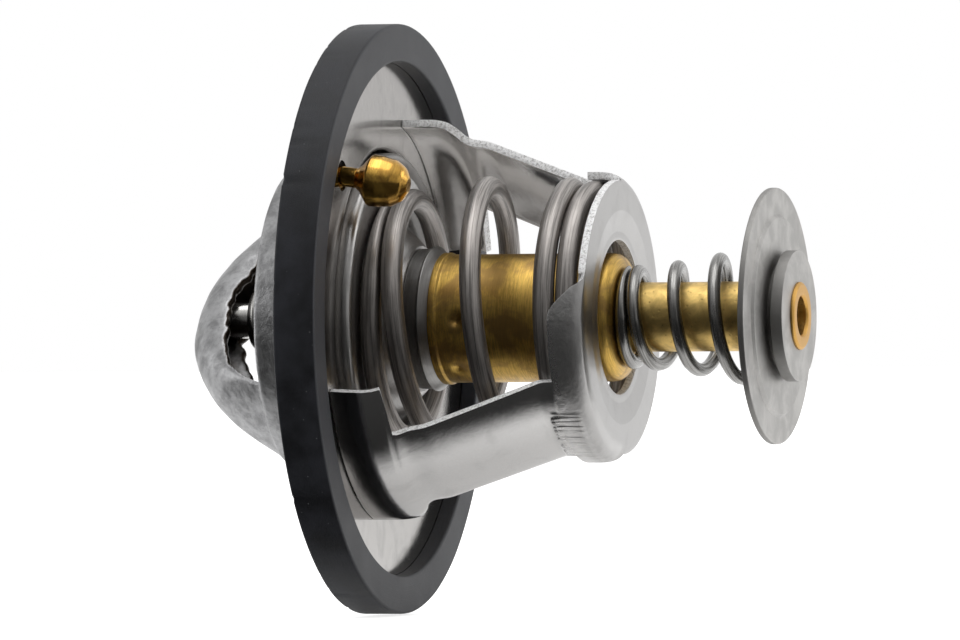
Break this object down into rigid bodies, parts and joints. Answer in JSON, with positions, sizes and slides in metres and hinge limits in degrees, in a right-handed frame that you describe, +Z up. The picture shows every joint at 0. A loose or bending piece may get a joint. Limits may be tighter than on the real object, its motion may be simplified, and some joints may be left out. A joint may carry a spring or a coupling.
{
  "type": "engine coolant thermostat",
  "caption": "Engine coolant thermostat: steel flange and bridge in a rubber gasket, wax element lifting a sprung main valve, lower frame, and a sprung bypass disc on a brass stem.",
  "frame": {"origin": "centre of the rubber gasket, on the part's axis and in the gasket's middle plane", "axes": "+X along the axis, from the bridge towards the bypass disc; +Z up, with the jiggle pin above the axis; +Y completes a right-handed frame"},
  "size_m": [0.0681, 0.064, 0.064],
  "materials": {
    "flange_steel": "brushed stainless sheet, dull on the drawn bridge",
    "gasket_rubber": "satin black moulded rubber",
    "frame_steel": "polished sheet with press marks and bright cut edges",
    "piston_steel": "ground and polished",
    "spring_steel": "matte drawn wire with lengthwise lines",
    "valve_steel": "satin turned sheet",
    "collar_steel": "satin grey",
    "case_brass": "golden brown, brushed round its axis",
    "wax": "dull cast wax",
    "inner_rubber": "matte black rubber",
    "white_plastic": "smooth white slip washer",
    "guide_steel": "satin turned",
    "stem_brass": "satin pitted yellow brass",
    "bypass_spring_steel": "polished dark spring wire",
    "washer_steel": "matte grey with a darker edge",
    "disc_steel": "matte light grey with a darker edge",
    "pin_brass": "polished gold brass"
  },
  "bodies": {
    "frame": {"flange_bridge": "flange_steel", "rubber_gasket": "gasket_rubber", "lower_frame": "frame_steel", "piston": "piston_steel", "main_spring": "spring_steel"},
    "valve": {"main_valve": "valve_steel", "valve_collar": "collar_steel", "element_case": "case_brass", "wax_charge": "wax", "rubber_boot": "inner_rubber", "backup_washer": "white_plastic", "guide_seal": "inner_rubber", "piston_guide": "guide_steel", "bypass_stem": "stem_brass", "bypass_spring": "bypass_spring_steel", "bypass_washer": "washer_steel"},
    "bypass": {"bypass_disc": "disc_steel"},
    "jiggle": {"jiggle_pin": "pin_brass", "jiggle_weight": "pin_brass"}
  },
  "joints": [
    {"name": "valve_lift", "type": "slide", "parent": "frame", "child": "valve", "axis": [1, 0, 0], "range_m": [0, 0.0085], "stiffness_N_per_m": 7000, "springref_m": -0.002, "deforming": ["main_spring"]},
    {"name": "bypass_slide", "type": "slide", "parent": "valve", "child": "bypass", "axis": [1, 0, 0], "range_m": [-0.0045, 0], "stiffness_N_per_m": 400, "springref_m": 0.003, "deforming": ["bypass_spring"]},
    {"name": "jiggle_slide", "type": "slide", "parent": "frame", "child": "jiggle", "axis": [0.9945, 0, -0.1045], "range_m": [-0.0011, 0]}
  ]
}
